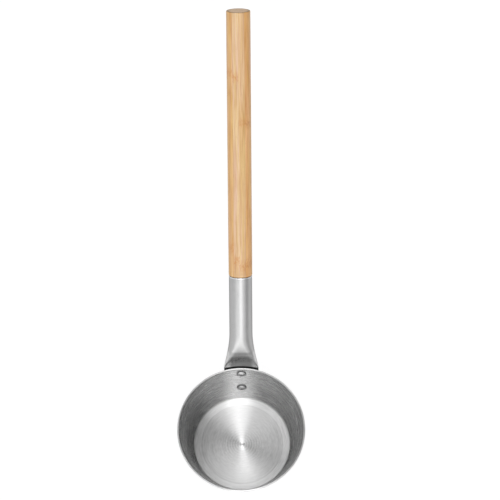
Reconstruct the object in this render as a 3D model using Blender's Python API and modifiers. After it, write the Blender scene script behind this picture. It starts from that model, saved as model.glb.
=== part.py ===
"""Sauna ladle: a spun aluminium cup riveted to a pressed tube neck that carries a bamboo handle.

The cup's axis is Z, its flat underside lies on z = 0, and the handle rises towards +Y.
"""

import math

import bmesh
import bpy
from mathutils import Euler, Vector

# Cup: a tapered spun bowl, its flat floor inside a sloped ring
RIM_DIAMETER = 0.109
CUP_HEIGHT = 0.050
CUP_WALL = 0.0018
CUP_TAPER = math.radians(14.0)
FLOOR_RING_WIDTH = 0.0058
FLOOR_RING_SLOPE = math.radians(8.0)
FLOOR_FILLET = 0.002
LIP_ROUNDING = 0.0006

# Neck: a round tube whose lower end is pressed flat and bent down the cup's wall
TUBE_DIAMETER = 0.0196
TUBE_WALL = 0.0012
PRESS_LENGTH = 0.032
PRESS_SOFTENING = 0.08
ROUND_LENGTH = 0.0506
KNEE_RISE = 0.0044
BEND_RADIUS = 0.027
TONGUE_CORNER = 0.0105
TONGUE_EDGE = 0.0004
MOUTH_CHAMFER = 0.0003
SLOT_HALF = 0.0005

# Handle: a turned bamboo rod with a tenon in the neck
HANDLE_RISE = math.radians(36.0)
HANDLE_DIAMETER = 0.020
HANDLE_LENGTH = 0.2269
HANDLE_CHAMFER = 0.0008
SHOULDER_ROUNDING = 0.0005
TENON_END_GAP = 0.010
TENON_CHAMFER = 0.001

# Blind rivets: a domed head in the cup, a swelled end behind the tongue
RIVET_DIAMETER = 0.004
RIVET_HEAD_DIAMETER = 0.0082
RIVET_HEAD_HEIGHT = 0.0018
RIVET_HEAD_EDGE = 0.0004
RIVET_SWELL_DIAMETER = 0.0062
RIVET_SWELL_LENGTH = 0.0034
RIVET_SWELL_ROUNDING = 0.0009
UPPER_RIVET_DROP = 0.0067
RIVET_PITCH = 0.023
RIVET_EDGE_DISTANCE = 0.009
STEM_DIAMETER = 0.002
STEM_HEAD_DIAMETER = 0.0034
STEM_HEAD_HEIGHT = 0.0014
STEM_HEAD_ROUNDING = 0.0008
STEM_RECESS = 0.0004

# Screw: holds the tenon from the neck's underside
SCREW_DIAMETER = 0.003
SCREW_HEAD_DIAMETER = 0.0056
SCREW_HEAD_RIM = 0.0002
SCREW_LENGTH = 0.0095
SCREW_SETBACK = 0.018
SCREW_TIP_LENGTH = 0.0012
SCREW_TIP_DIAMETER = 0.0018

# Space left between pieces that touch
FIT = 0.0003

# Facets of the round shapes
CUP_STEPS = 88
ROD_STEPS = 48
SMALL_STEPS = 20
NECK_POINTS = 52
NECK_EDGE_CROWDING = 0.6
PRESS_STATIONS = 19
TONGUE_CORNER_STATIONS = 6
DOME_POINTS = 6
ARC_STEP = math.radians(16.0)
SMOOTH_ANGLE = math.radians(40.0)

# Working values of the modelling tools
CUTTER_OVERRUN = 0.004
MERGE_DISTANCE = 0.00001

# Sizes that follow from the ones above
RIM_RADIUS = RIM_DIAMETER / 2
TUBE_RADIUS = TUBE_DIAMETER / 2
BORE_RADIUS = TUBE_RADIUS - TUBE_WALL
TONGUE_THICKNESS = 2 * TUBE_WALL
TONGUE_REACH = UPPER_RIVET_DROP + RIVET_PITCH + RIVET_EDGE_DISTANCE
RIVET_DROPS = {"upper_rivet": UPPER_RIVET_DROP, "lower_rivet": UPPER_RIVET_DROP + RIVET_PITCH}
RIVET_HOLE_RADIUS = RIVET_DIAMETER / 2 + FIT
RIVET_BORE_RADIUS = STEM_DIAMETER / 2 + FIT

ALUMINIUM = ((0.72, 0.73, 0.74, 1.0), 0.32, 1.0)
SATIN_ALUMINIUM = ((0.66, 0.67, 0.68, 1.0), 0.42, 1.0)
BRIGHT_ALUMINIUM = ((0.78, 0.79, 0.80, 1.0), 0.25, 1.0)
STEEL = ((0.45, 0.45, 0.46, 1.0), 0.35, 1.0)
BAMBOO = ((0.72, 0.47, 0.24, 1.0), 0.55, 0.0)


def clear_scene():
    """Remove every object that the file holds."""
    for old in list(bpy.data.objects):
        bpy.data.objects.remove(old, do_unlink=True)


def new_collection(name):
    """Make a collection under the scene."""
    collection = bpy.data.collections.new(name)
    bpy.context.scene.collection.children.link(collection)
    return collection


def finish_material(name, finish):
    """Make a Principled material from a colour, a roughness and a metallic value."""
    colour, roughness, metallic = finish
    material = bpy.data.materials.new(name)
    material.use_nodes = True
    shader = material.node_tree.nodes["Principled BSDF"]
    shader.inputs["Base Color"].default_value = colour
    shader.inputs["Roughness"].default_value = roughness
    shader.inputs["Metallic"].default_value = metallic
    return material


def rounded(corners):
    """Turn (r, z, radius) corners into a polyline, each corner with an arc of its radius."""
    points = []
    for i, (r, z, radius) in enumerate(corners):
        here = Vector((r, z))
        if radius == 0 or i in (0, len(corners) - 1):
            points.append(here)
            continue
        back = (Vector(corners[i - 1][:2]) - here).normalized()
        ahead = (Vector(corners[i + 1][:2]) - here).normalized()
        half = back.angle(ahead) / 2
        centre = here + (back + ahead).normalized() * radius / math.sin(half)
        start = here + back * radius / math.tan(half) - centre
        turn = math.pi - 2 * half
        side = math.copysign(1, back.x * ahead.y - back.y * ahead.x)
        steps = max(2, math.ceil(turn / ARC_STEP))
        for k in range(steps + 1):
            angle = -side * turn * k / steps
            cos, sin = math.cos(angle), math.sin(angle)
            points.append(centre + Vector((start.x * cos - start.y * sin, start.x * sin + start.y * cos)))
    return points


def turned(name, corners, steps, collection, closed=False):
    """Turn a profile about Z with a Screw modifier. The profile runs down its outer side."""
    points = rounded(corners)
    edges = [(i, i + 1) for i in range(len(points) - 1)]
    if closed:
        edges.append((len(points) - 1, 0))
    mesh = bpy.data.meshes.new(name)
    mesh.from_pydata([(p.x, 0, p.y) for p in points], edges, [])
    body = bpy.data.objects.new(name, mesh)
    collection.objects.link(body)
    screw = body.modifiers.new("Turn", "SCREW")
    screw.axis = "Z"
    screw.angle = 2 * math.pi
    screw.steps = screw.render_steps = steps
    screw.use_merge_vertices = True
    screw.merge_threshold = MERGE_DISTANCE
    screw.use_smooth_shade = True
    return body


def cylinder_cutter(name, radius, low, high, collection):
    """A round cutter about Z from low to high."""
    bpy.ops.mesh.primitive_cylinder_add(
        vertices=SMALL_STEPS, radius=radius, depth=high - low, location=(0, 0, 0)
    )
    cutter = bpy.context.object
    cutter.name = name
    for vertex in cutter.data.vertices:
        vertex.co.z += (low + high) / 2
    for old in list(cutter.users_collection):
        old.objects.unlink(cutter)
    collection.objects.link(cutter)
    return cutter


def cut(body, cutter):
    """Subtract a cutter from a body and keep the cutter out of renders."""
    cutter.hide_render = True
    cutter.display_type = "WIRE"
    boolean = body.modifiers.new("Cut " + cutter.name, "BOOLEAN")
    boolean.operation = "DIFFERENCE"
    boolean.solver = "EXACT"
    boolean.object = cutter


def place(body, point, turn):
    """Put a body at a point, turned about X."""
    body.location = point
    body.rotation_euler = Euler((turn, 0, 0))


def paint(body, material):
    """Give a body its one material."""
    body.data.materials.append(material)


def wall_radius(z):
    """The cup's outer radius at a height."""
    return RIM_RADIUS - (CUP_HEIGHT - z) * math.tan(CUP_TAPER)


def wall_point(drop, depth=0.0):
    """A point of the cup's back wall, drop down from the rim and depth in from its outer face."""
    z = CUP_HEIGHT - drop * math.cos(CUP_TAPER)
    inwards = Vector((0, -math.cos(CUP_TAPER), math.sin(CUP_TAPER)))
    return Vector((0, wall_radius(z), z)) + depth * inwards


def ring_corner(flat_radius, height, across):
    """Where the ring round a flat at a height meets the wall's face that lies across in from the outer one."""
    slope = math.tan(FLOOR_RING_SLOPE)
    gap = wall_radius(height) - across - flat_radius
    width = gap / (1 - slope * math.tan(CUP_TAPER))
    return flat_radius + width, height + width * slope


def make_cup(collection):
    """Spin the cup: floor, ring, inner wall, lip, outer wall and base, one wall thick all over."""
    wall_across = CUP_WALL / math.cos(CUP_TAPER)
    flat_radius = wall_radius(CUP_WALL) - wall_across - FLOOR_RING_WIDTH
    corners = [
        (0, CUP_WALL, 0),
        (flat_radius, CUP_WALL, 0),
        (*ring_corner(flat_radius, CUP_WALL, wall_across), FLOOR_FILLET),
        (RIM_RADIUS - wall_across, CUP_HEIGHT, LIP_ROUNDING),
        (RIM_RADIUS, CUP_HEIGHT, LIP_ROUNDING),
        (*ring_corner(flat_radius, 0, 0), FLOOR_FILLET + CUP_WALL),
        (flat_radius, 0, 0),
        (0, 0, 0),
    ]
    return turned("cup", corners, CUP_STEPS, collection)


def rivet_seat(drop):
    """How far in from the wall's outer face a flat rivet head clears the hollow wall."""
    z = wall_point(drop).z
    hollow_radius = (wall_radius(z) - CUP_WALL) / math.cos(CUP_TAPER)
    return CUP_WALL + FIT + (RIVET_HEAD_DIAMETER / 2) ** 2 / (2 * hollow_radius)


def make_rivet(name, seat, collection):
    """A blind rivet about Z: a domed head above the seat, a swelled end below the tongue."""
    head_top = seat + RIVET_HEAD_HEIGHT
    head_radius = RIVET_HEAD_DIAMETER / 2
    dome_height = RIVET_HEAD_HEIGHT - RIVET_HEAD_EDGE
    dome_radius = (head_radius**2 + dome_height**2) / (2 * dome_height)
    dome = []
    for k in range(DOME_POINTS + 1):
        r = RIVET_BORE_RADIUS + (head_radius - RIVET_BORE_RADIUS) * k / DOME_POINTS
        dome.append((r, head_top - dome_radius + math.sqrt(dome_radius**2 - r**2), 0))
    swell_top = -TONGUE_THICKNESS - 2 * FIT
    swell_end = swell_top - RIVET_SWELL_LENGTH
    pocket_radius = STEM_HEAD_DIAMETER / 2 + FIT
    pocket_top = stem_head_top() + FIT
    corners = dome + [
        (head_radius, seat, 0),
        (RIVET_DIAMETER / 2, seat, 0),
        (RIVET_DIAMETER / 2, swell_top, 0),
        (RIVET_SWELL_DIAMETER / 2, swell_top, RIVET_SWELL_ROUNDING),
        (RIVET_SWELL_DIAMETER / 2, swell_end, RIVET_SWELL_ROUNDING),
        (pocket_radius, swell_end, 0),
        (pocket_radius, pocket_top, 0),
        (RIVET_BORE_RADIUS, pocket_top, 0),
    ]
    return turned(name, corners, SMALL_STEPS, collection, closed=True)


def stem_head_top():
    """Where the stem's head begins, held inside the rivet's swelled end."""
    return -TONGUE_THICKNESS - 2 * FIT - RIVET_SWELL_LENGTH + STEM_HEAD_HEIGHT


def make_stem(name, seat, collection):
    """The broken stem left in a blind rivet, its head in the swelled end."""
    top = seat + RIVET_HEAD_HEIGHT - STEM_RECESS
    head_top = stem_head_top()
    head_radius = STEM_HEAD_DIAMETER / 2
    corners = [
        (0, top, 0),
        (STEM_DIAMETER / 2, top, 0),
        (STEM_DIAMETER / 2, head_top, 0),
        (head_radius, head_top, 0),
        (head_radius, head_top - STEM_HEAD_HEIGHT, STEM_HEAD_ROUNDING),
        (0, head_top - STEM_HEAD_HEIGHT, 0),
    ]
    return turned(name, corners, SMALL_STEPS, collection)


class NeckPath:
    """The neck's centre line: up the cup's wall, round the knee, then along the handle."""

    def __init__(self):
        self.wall_angle = math.pi / 2 - CUP_TAPER
        self.bend = self.wall_angle - HANDLE_RISE
        offset = FIT + TONGUE_THICKNESS / 2
        knee_along = KNEE_RISE / math.cos(CUP_TAPER)
        tangent = BEND_RADIUS * math.tan(self.bend / 2)
        self.start = wall_point(TONGUE_REACH, -offset)
        self.lower = TONGUE_REACH + knee_along - tangent
        self.arc = BEND_RADIUS * self.bend
        self.pressed_to = TONGUE_REACH
        self.round_from = TONGUE_REACH + PRESS_LENGTH
        self.length = self.round_from + ROUND_LENGTH

    def frame(self, s):
        """The point, the direction and the upper normal at a length s from the tongue's end."""
        angle = self.wall_angle - self.bend * min(max((s - self.lower) / self.arc, 0), 1)
        ahead = Vector((0, math.cos(self.wall_angle), math.sin(self.wall_angle)))
        point = self.start + ahead * min(s, self.lower)
        if s > self.lower:
            centre = point + BEND_RADIUS * Vector((0, ahead.z, -ahead.y))
            point = centre + BEND_RADIUS * Vector((0, -math.sin(angle), math.cos(angle)))
        direction = Vector((0, math.cos(angle), math.sin(angle)))
        if s > self.lower + self.arc:
            point = point + direction * (s - self.lower - self.arc)
        return point, direction, Vector((0, -direction.z, direction.y))

    def pressed(self, s):
        """How far the tube is opened at s: 0 where it is pressed flat, 1 where it is round."""
        u = min(max((s - self.pressed_to) / PRESS_LENGTH, 0), 1)
        soft = PRESS_SOFTENING
        eased = (math.hypot(u, soft) - soft) / (math.hypot(1, soft) - soft)
        return math.sin(math.pi / 2 * eased)

    def half_thickness(self, s):
        """Half the tube's outer thickness at s."""
        return TUBE_WALL + (TUBE_RADIUS - TUBE_WALL) * self.pressed(s)

    def bow(self, s, x):
        """How far a section leans round the cup at x, fading out where the tube is round."""
        z = min(self.frame(s)[0].z, CUP_HEIGHT)
        radius = wall_radius(z) / math.cos(CUP_TAPER) + FIT + TUBE_WALL
        return (1 - self.pressed(s)) * (radius - math.sqrt(radius**2 - x**2))

    def trimmed(self, s):
        """What the rounded corners of the tongue's end take off each side at s."""
        left = max(TONGUE_CORNER - s, 0)
        return TONGUE_CORNER - math.sqrt(TONGUE_CORNER**2 - left**2)


def stadium_point(straight, radius, share):
    """A point of a flat-sided round section, at a share of its outline from the +x end."""
    quarter = math.pi * radius / 2
    along = share * (2 * straight + 4 * quarter)
    for start, centre in ((0, straight / 2), (math.pi / 2, -straight / 2), (1.5 * math.pi, straight / 2)):
        arc = 2 * quarter if start == math.pi / 2 else quarter
        if along <= arc:
            angle = start + along / radius
            return centre + radius * math.cos(angle), radius * math.sin(angle)
        along -= arc
        if along <= straight and start < math.pi:
            side = 1 if start == 0 else -1
            return side * (straight / 2 - along), side * radius
        along -= straight
    return straight / 2 + radius, 0.0


def neck_ring(path, s, inset=0.0, at=None):
    """One section of the neck at s, drawn in by inset and set at another length if one is given."""
    thickness = path.half_thickness(s)
    straight = max(math.pi * (TUBE_RADIUS - thickness) - 2 * path.trimmed(s), 0)
    point, _, normal = path.frame(s if at is None else at)
    ring = []
    for i in range(NECK_POINTS):
        turn = 2 * math.pi * i / NECK_POINTS
        share = (turn - NECK_EDGE_CROWDING * math.sin(2 * turn) / 2) / (2 * math.pi)
        x, n = stadium_point(straight, thickness - inset, share)
        ring.append(point + Vector((x, 0, 0)) + normal * (n + path.bow(s, x)))
    return ring


def make_neck(path, collection):
    """Loft the neck from the tongue's end up to the mouth, then back down its own bore."""
    quarter_turns = [math.pi / 2 * (k + 1) / TONGUE_CORNER_STATIONS for k in range(TONGUE_CORNER_STATIONS)]
    stations = [TONGUE_CORNER * (1 - math.cos(turn)) for turn in quarter_turns]
    stations += [(TONGUE_CORNER + path.lower) / 2, path.lower]
    pressed = path.round_from - path.lower
    stations += [path.lower + pressed * (k + 1) / PRESS_STATIONS for k in range(PRESS_STATIONS)]

    rings = [neck_ring(path, 0, TONGUE_EDGE), neck_ring(path, 0, 0, TONGUE_EDGE)]
    rings += [neck_ring(path, s) for s in stations if s > TONGUE_EDGE]
    rings.append(neck_ring(path, path.length - MOUTH_CHAMFER))
    rings.append(neck_ring(path, path.length, MOUTH_CHAMFER))
    rings.append(neck_ring(path, path.length, TUBE_WALL))
    hollow = [s for s in stations if path.half_thickness(s) - TUBE_WALL > SLOT_HALF]
    rings += [neck_ring(path, s, TUBE_WALL) for s in reversed(hollow)]

    shell = bmesh.new()
    grid = [[shell.verts.new(p) for p in ring] for ring in rings]
    for low, high in zip(grid, grid[1:]):
        for i in range(NECK_POINTS):
            j = (i + 1) % NECK_POINTS
            shell.faces.new((low[i], low[j], high[j], high[i]))
    shell.faces.new(list(reversed(grid[0])))
    shell.faces.new(grid[-1])
    bmesh.ops.recalc_face_normals(shell, faces=shell.faces)
    mesh = bpy.data.meshes.new("neck")
    shell.to_mesh(mesh)
    shell.free()
    mesh.shade_smooth()
    mesh.set_sharp_from_angle(angle=SMOOTH_ANGLE)
    neck = bpy.data.objects.new("neck", mesh)
    collection.objects.link(neck)
    return neck


def make_handle(collection):
    """Turn the bamboo rod about Z: its shoulder sits over the neck's mouth at z = 0."""
    radius = HANDLE_DIAMETER / 2
    tenon_radius = BORE_RADIUS - FIT
    tenon_end = -(ROUND_LENGTH - TENON_END_GAP)
    corners = [
        (0, HANDLE_LENGTH, 0),
        (radius - HANDLE_CHAMFER, HANDLE_LENGTH, 0),
        (radius, HANDLE_LENGTH - HANDLE_CHAMFER, 0),
        (radius, FIT, SHOULDER_ROUNDING),
        (tenon_radius, FIT, 0),
        (tenon_radius, tenon_end + TENON_CHAMFER, 0),
        (tenon_radius - TENON_CHAMFER, tenon_end, 0),
        (0, tenon_end, 0),
    ]
    return turned("handle", corners, ROD_STEPS, collection)


def screw_corners(grow, overrun):
    """The screw's outline about Z, grown all round, with its head drawn out at the top by overrun."""
    top = TUBE_RADIUS + overrun
    head = SCREW_HEAD_DIAMETER / 2 + grow
    shank = SCREW_DIAMETER / 2 + grow
    rim_low = TUBE_RADIUS - SCREW_HEAD_RIM - grow * math.tan(math.pi / 8)
    end = TUBE_RADIUS - SCREW_LENGTH - grow
    return [
        (0, top, 0),
        (head, top, 0),
        (head, rim_low, 0),
        (shank, rim_low - (head - shank), 0),
        (shank, end + SCREW_TIP_LENGTH, 0),
        (SCREW_TIP_DIAMETER / 2 + grow, end, 0),
        (0, end, 0),
    ]


def build():
    """Make every piece of the ladle and fit them together."""
    clear_scene()
    parts = new_collection("Sauna ladle")
    cutters = new_collection("Cutters")
    path = NeckPath()

    cup = make_cup(parts)
    paint(cup, finish_material("cup aluminium", ALUMINIUM))
    neck = make_neck(path, parts)
    paint(neck, finish_material("neck aluminium", SATIN_ALUMINIUM))

    rivet_finish = finish_material("rivet aluminium", BRIGHT_ALUMINIUM)
    steel = finish_material("steel", STEEL)
    into_cup = math.pi / 2 - CUP_TAPER
    for name, drop in RIVET_DROPS.items():
        seat = rivet_seat(drop)
        rivet = make_rivet(name, seat, parts)
        paint(rivet, rivet_finish)
        stem = make_stem(name + "_stem", seat, parts)
        paint(stem, steel)
        low = -TONGUE_THICKNESS - FIT - CUTTER_OVERRUN
        hole = cylinder_cutter(name + "_hole", RIVET_HOLE_RADIUS, low, CUP_WALL + CUTTER_OVERRUN, cutters)
        for piece in (rivet, stem, hole):
            place(piece, wall_point(drop), into_cup)
        cut(cup, hole)
        cut(neck, hole)

    mouth, along, _ = path.frame(path.length)
    handle = make_handle(parts)
    paint(handle, finish_material("bamboo", BAMBOO))
    place(handle, mouth, HANDLE_RISE - math.pi / 2)

    screw_point = mouth - along * SCREW_SETBACK
    screw = turned("handle_screw", screw_corners(0, 0), SMALL_STEPS, parts)
    paint(screw, steel)
    pilot = turned("handle_screw_hole", screw_corners(FIT, CUTTER_OVERRUN), SMALL_STEPS, cutters)
    for piece in (screw, pilot):
        place(piece, screw_point, HANDLE_RISE - math.pi)
    cut(neck, pilot)
    cut(handle, pilot)


build()
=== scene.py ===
"""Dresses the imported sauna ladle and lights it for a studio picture.

The ladle is a spun aluminium cup, a neck pressed from aluminium tube, two blind rivets with
their pulled stems, a turned bamboo handle and the screw that holds its tenon. Every piece
stands where its solid stands: the cup's axis is Z, its underside lies on z = 0 and the handle
rises towards +Y. Lengths are in metres.
"""

import logging
import math
from collections.abc import Callable, Iterable
from dataclasses import dataclass
from enum import Enum

import bmesh
import bpy
from mathutils import Matrix, Vector


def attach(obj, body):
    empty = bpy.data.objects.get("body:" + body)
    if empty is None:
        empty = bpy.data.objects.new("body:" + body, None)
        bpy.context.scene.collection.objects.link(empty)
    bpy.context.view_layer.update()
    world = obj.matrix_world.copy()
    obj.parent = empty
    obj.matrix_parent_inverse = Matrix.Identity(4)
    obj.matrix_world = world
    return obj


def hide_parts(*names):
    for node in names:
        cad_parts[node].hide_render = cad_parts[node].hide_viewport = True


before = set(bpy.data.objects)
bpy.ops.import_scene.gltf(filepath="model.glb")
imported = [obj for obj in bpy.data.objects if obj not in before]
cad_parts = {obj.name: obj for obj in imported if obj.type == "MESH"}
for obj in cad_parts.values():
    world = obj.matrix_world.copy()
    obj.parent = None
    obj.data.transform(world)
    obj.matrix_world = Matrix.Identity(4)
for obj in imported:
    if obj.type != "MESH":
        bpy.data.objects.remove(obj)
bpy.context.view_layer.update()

LOG = logging.getLogger("sauna_ladle")

Range = tuple[float, float]
Point = tuple[float, float, float]
Colour = tuple[float, float, float, float]
Stops = tuple[tuple[float, Point], ...]
Socket = bpy.types.NodeSocket
Feed = bpy.types.NodeSocket | float | tuple[float, ...]

# A noise lies about its middle, and mostly in this range
NOISE_MIDDLE = 0.5
MID_NOISE: Range = (0.35, 0.65)
MILLIMETRES = 1000.0


class Slot(Enum):
    """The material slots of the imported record."""

    CUP = "cup_aluminium"
    NECK = "neck_aluminium"
    RIVET = "rivet_aluminium"
    BAMBOO = "bamboo"
    STEEL = "steel"


class Blend(Enum):
    """How a value runs between the two ends of its range."""

    STRAIGHT = "LINEAR"
    SOFT = "SMOOTHSTEP"


# Hand tools for meshes


def clear_bench() -> None:
    """Leave edit mode and deselect every object."""
    if bpy.context.object and bpy.context.object.mode != "OBJECT":
        bpy.ops.object.mode_set(mode="OBJECT")
    bpy.ops.object.select_all(action="DESELECT")


def rounded(corners: Iterable[Point], step: float = 0.12) -> list[Vector]:
    """Draw a lathe profile, with an arc at each corner that has a radius.

    Args:
        corners: (distance from the axis, height, corner radius) of each corner.
        step: The largest turn between two points of an arc, in radians.

    Returns:
        The profile's points as (distance, height).
    """
    drawn = list(corners)
    points: list[Vector] = []
    for i, (r, z, radius) in enumerate(drawn):
        here = Vector((r, z))
        if radius == 0 or i in (0, len(drawn) - 1):
            points.append(here)
            continue
        back = (Vector(drawn[i - 1][:2]) - here).normalized()
        ahead = (Vector(drawn[i + 1][:2]) - here).normalized()
        half = back.angle(ahead) / 2
        centre = here + (back + ahead).normalized() * radius / math.sin(half)
        start = here + back * radius / math.tan(half) - centre
        turn = math.pi - 2 * half
        side = math.copysign(1, back.x * ahead.y - back.y * ahead.x)
        count = max(2, math.ceil(turn / step))
        for k in range(count + 1):
            angle = -side * turn * k / count
            cos, sin = math.cos(angle), math.sin(angle)
            points.append(centre + Vector((start.x * cos - start.y * sin, start.x * sin + start.y * cos)))
    return points


class Workpiece:
    """A mesh on the bench: shaped in edit mode with hand tools, then set in its place."""

    NEAR = 2e-5
    WELD = 1e-7
    CREASE = math.radians(35.0)

    def __init__(self, name: str) -> None:
        """Take up the primitive that was just added."""
        self.object: bpy.types.Object = bpy.context.object
        self.object.name = self.object.data.name = name

    @classmethod
    def start(cls, name: str, add: Callable[..., set[str]], **sizes: object) -> "Workpiece":
        """Start from one of Blender's primitives, with its place kept in its mesh.

        Args:
            name: The piece's name.
            add: The operator that adds the primitive.
            sizes: The operator's own settings.

        Returns:
            The new workpiece.
        """
        clear_bench()
        add(**sizes)
        bpy.ops.object.transform_apply(location=True, rotation=True, scale=True)
        return cls(name)

    @classmethod
    def cylinder(cls, name: str, radius: float, low: float, high: float, steps: int) -> "Workpiece":
        """Start from a cylinder about Z, between two heights.

        Args:
            name: The piece's name.
            radius: Its radius.
            low: Height of its lower end.
            high: Height of its upper end.
            steps: Facets round it.

        Returns:
            The new workpiece.
        """
        middle = (0, 0, (low + high) / 2)
        add = bpy.ops.mesh.primitive_cylinder_add
        return cls.start(name, add, vertices=steps, radius=radius, depth=high - low, location=middle)

    @classmethod
    def lathe(cls, name: str, profile: list[Vector], steps: int, ring: bool = False) -> "Workpiece":
        """Draw a profile point by point and spin it about Z.

        Args:
            name: The piece's name.
            profile: (distance, height) points from one end to the other.
            steps: Facets round the piece.
            ring: Whether the profile closes on itself, clear of the axis.

        Returns:
            The new workpiece, out of edit mode.
        """
        piece = cls.start(name, bpy.ops.mesh.primitive_plane_add)
        piece.open()
        bpy.ops.mesh.select_all(action="SELECT")
        bpy.ops.mesh.merge(type="CENTER")
        piece.shift((profile[0].x, 0, profile[0].y))
        drawn = profile[1:] + ([profile[0]] if ring else [])
        for last, here in zip(profile, drawn):
            move = here - last
            bpy.ops.mesh.extrude_vertices_move(TRANSFORM_OT_translate={"value": (move.x, 0, move.y)})
        bpy.ops.mesh.select_all(action="SELECT")
        bpy.ops.mesh.remove_doubles(threshold=cls.WELD)
        bpy.ops.mesh.spin(steps=steps, angle=2 * math.pi, center=(0, 0, 0), axis=(0, 0, 1))
        piece.close()
        return piece

    @property
    def mesh(self) -> bmesh.types.BMesh:
        """The mesh under the tools, in edit mode."""
        return bmesh.from_edit_mesh(self.object.data)

    def show(self) -> None:
        """Push what was selected or moved by hand back to the piece."""
        self.mesh.select_flush_mode()
        bmesh.update_edit_mesh(self.object.data)

    def hold(self) -> None:
        """Make this the one selected, active object."""
        clear_bench()
        bpy.context.view_layer.objects.active = self.object
        self.object.select_set(True)

    def open(self) -> None:
        """Go into edit mode with nothing selected."""
        self.hold()
        bpy.ops.object.mode_set(mode="EDIT")
        bpy.ops.mesh.select_mode(type="VERT")
        bpy.ops.mesh.select_all(action="DESELECT")

    def close(self) -> None:
        """Weld what touches, turn every face outwards and leave edit mode."""
        bpy.ops.mesh.select_mode(type="VERT")
        bpy.ops.mesh.select_all(action="SELECT")
        bpy.ops.mesh.remove_doubles(threshold=self.WELD)
        bpy.ops.mesh.normals_make_consistent(inside=False)
        bpy.ops.object.mode_set(mode="OBJECT")

    def pick_faces(self, wanted: Callable[[Vector, Vector], bool]) -> None:
        """Select the faces whose centre and normal pass a test.

        Args:
            wanted: The test, given a face's centre and its normal.
        """
        bpy.ops.mesh.select_mode(type="FACE")
        bpy.ops.mesh.select_all(action="DESELECT")
        for face in self.mesh.faces:
            face.select_set(wanted(face.calc_center_median(), face.normal))
        self.show()

    def pick_edges(self, wanted: Callable[[Vector], bool], open_only: bool = False) -> None:
        """Select the edges whose two ends pass a test, or only those with an open side.

        Args:
            wanted: The test, given a point.
            open_only: Whether one side of the edge has to be open.
        """
        bpy.ops.mesh.select_mode(type="EDGE")
        bpy.ops.mesh.select_all(action="DESELECT")
        for edge in self.mesh.edges:
            passes = all(wanted(vertex.co) for vertex in edge.verts)
            edge.select_set(passes and (edge.is_boundary or not open_only))
        self.show()

    def round_ring(self, radius: float, height: float, reach: float, segments: int) -> None:
        """Round the circular edge at a distance from the axis and a height.

        Args:
            radius: The edge's distance from the axis.
            height: The edge's height.
            reach: How far the rounding reaches on both sides of it.
            segments: Facets across the rounding.
        """
        near = self.NEAR
        self.pick_edges(lambda p: abs(math.hypot(p.x, p.y) - radius) < near and abs(p.z - height) < near)
        bpy.ops.mesh.bevel(offset=reach, offset_type="OFFSET", segments=segments, profile=0.5, affect="EDGES")

    def pick_disc(self, height: float) -> None:
        """Select the one flat face that the axis passes through at a height."""
        near = self.NEAR
        self.pick_faces(lambda c, n: math.hypot(c.x, c.y) < near and abs(c.z - height) < near)

    def inset(self, thickness: float, rise: float = 0.0) -> None:
        """Inset the selected faces, then lift what is inside.

        Args:
            thickness: How far in the new edge lies.
            rise: How far the inside is lifted.
        """
        bpy.ops.mesh.inset(thickness=thickness, depth=0)
        if rise:
            self.shift((0, 0, rise))

    def extrude(self, move: Point) -> None:
        """Extrude the selection."""
        bpy.ops.mesh.extrude_region_move(TRANSFORM_OT_translate={"value": move})

    def shift(self, move: Point) -> None:
        """Move the selection."""
        bpy.ops.transform.translate(value=move)

    def scale(self, across: float) -> None:
        """Scale the selection about the axis."""
        bpy.ops.transform.resize(value=(across, across, 1), center_override=(0, 0, 0))

    def stand(self, point: Vector, turn: float) -> None:
        """Turn the piece about X, put it at a point, and keep that place in its mesh.

        Args:
            point: Where the piece's own origin goes.
            turn: Its turn, in radians.
        """
        self.hold()
        self.object.location = point
        self.object.rotation_euler = (turn, 0, 0)
        bpy.ops.object.transform_apply(location=True, rotation=True, scale=True)

    def drill(self, *pieces: "Workpiece") -> None:
        """Cut this piece out of others, which uses it up.

        Args:
            pieces: What is drilled.
        """
        for piece in pieces:
            piece.hold()
            boolean = piece.object.modifiers.new("drilled", "BOOLEAN")
            boolean.operation = "DIFFERENCE"
            boolean.solver = "EXACT"
            boolean.object = self.object
            bpy.ops.object.modifier_apply(modifier=boolean.name)
        bpy.data.objects.remove(self.object, do_unlink=True)

    def smooth(self, angle: float) -> None:
        """Shade the piece smooth, sharp over an angle, with flat faces kept flat.

        Args:
            angle: The angle over which an edge stays sharp.
        """
        self.hold()
        bpy.ops.object.shade_smooth_by_angle(angle=angle)
        even = self.object.modifiers.new("even", "WEIGHTED_NORMAL")
        even.keep_sharp = True
        bpy.ops.object.modifier_apply(modifier=even.name)

    def settle(self, material: bpy.types.Material, node: str, crease: float = CREASE) -> None:
        """Smooth and dress the piece, and let it stand for its solid.

        Args:
            material: The finish.
            node: The CAD node that the piece stands for.
            crease: The angle over which an edge stays sharp.
        """
        self.smooth(crease)
        clear_bench()
        self.object.data.materials.clear()
        self.object.data.materials.append(material)
        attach(self.object, "root")
        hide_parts(node)
        LOG.info("%s: %d faces for %s", self.object.name, len(self.object.data.polygons), node)


# Nodes of a finish


def grey(value: float) -> Point:
    """A colour with no hue."""
    return value, value, value


@dataclass(frozen=True)
class Streak:
    """Noise drawn out in lines: its changes per unit of two coordinates and of a third, and its levels."""

    sides: float
    run: float
    detail: float = 2.0


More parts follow.
